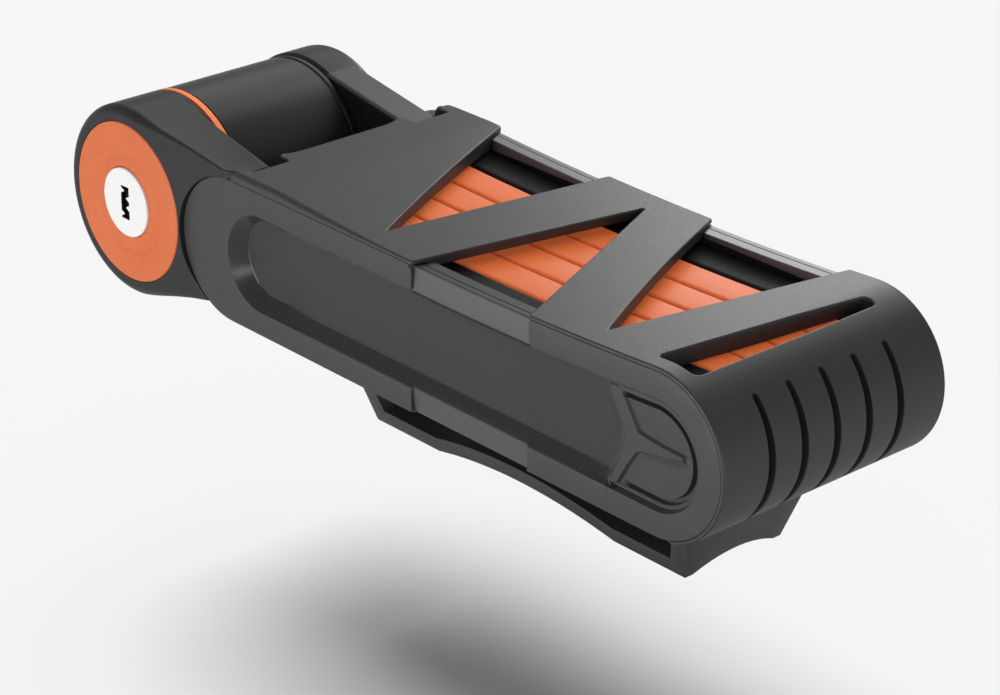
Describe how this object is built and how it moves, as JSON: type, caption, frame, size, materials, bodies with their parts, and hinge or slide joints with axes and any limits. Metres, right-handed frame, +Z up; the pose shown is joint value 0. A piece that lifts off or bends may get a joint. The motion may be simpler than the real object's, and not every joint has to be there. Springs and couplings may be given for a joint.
{
  "type": "folding bike lock with frame case",
  "caption": "Folding bike lock pushed into a slotted plastic case whose saddle bolts to a bicycle frame; the lock slides out of the mouth and the key plug turns.",
  "frame": {"origin": "middle of the two frame bolts, on the crown of the saddle's tube groove", "axes": "+X along the case to its closed round end, +Y from the key side to the rear side plate, +Z up from the frame tube"},
  "size_m": [0.1921, 0.0598, 0.0542],
  "materials": {
    "case_plastic": "fine spark-eroded texture, dark grey",
    "soft_lining": "matte black",
    "lock_moulding": "smooth satin black",
    "orange_moulding": "satin orange",
    "orange_bezel": "satin orange",
    "hardened_steel": "ground",
    "plated_steel": "zinc plated",
    "nylon": "natural",
    "cylinder_brass": "turned",
    "plug_nickel": "bright nickel"
  },
  "bodies": {
    "case": {"case_shell": "case_plastic", "front_side_plate": "case_plastic", "rear_side_plate": "case_plastic", "floor_pad": "soft_lining", "end_bumper": "soft_lining", "frame_saddle": "case_plastic", "saddle_screws": "plated_steel"},
    "lock": {"front_arm": "lock_moulding", "rear_arm": "lock_moulding", "front_steel_link": "hardened_steel", "steel_link_2": "hardened_steel", "steel_link_3": "hardened_steel", "steel_link_4": "hardened_steel", "steel_link_5": "hardened_steel", "rear_steel_link": "hardened_steel", "link_cover_2": "orange_moulding", "link_cover_3": "orange_moulding", "link_cover_4": "orange_moulding", "link_cover_5": "orange_moulding", "end_rivets": "plated_steel", "inner_rivets": "plated_steel", "link_washers": "nylon", "cylinder_body": "cylinder_brass", "key_bezel": "orange_bezel", "barrel_ring": "orange_moulding", "barrel_sleeve": "lock_moulding", "locking_stud": "hardened_steel"},
    "key_plug": {"key_plug": "plug_nickel", "plug_clip": "plated_steel", "plug_tail": "plated_steel"}
  },
  "joints": [
    {"name": "lock_draw", "type": "slide", "parent": "case", "child": "lock", "axis": [-1, 0, 0], "range_m": [0, 0.16]},
    {"name": "key_turn", "type": "hinge", "parent": "lock", "child": "key_plug", "pos_m": [-0.1036, 0, 0.03135], "axis": [0, 1, 0], "range_deg": [0, 90]}
  ]
}
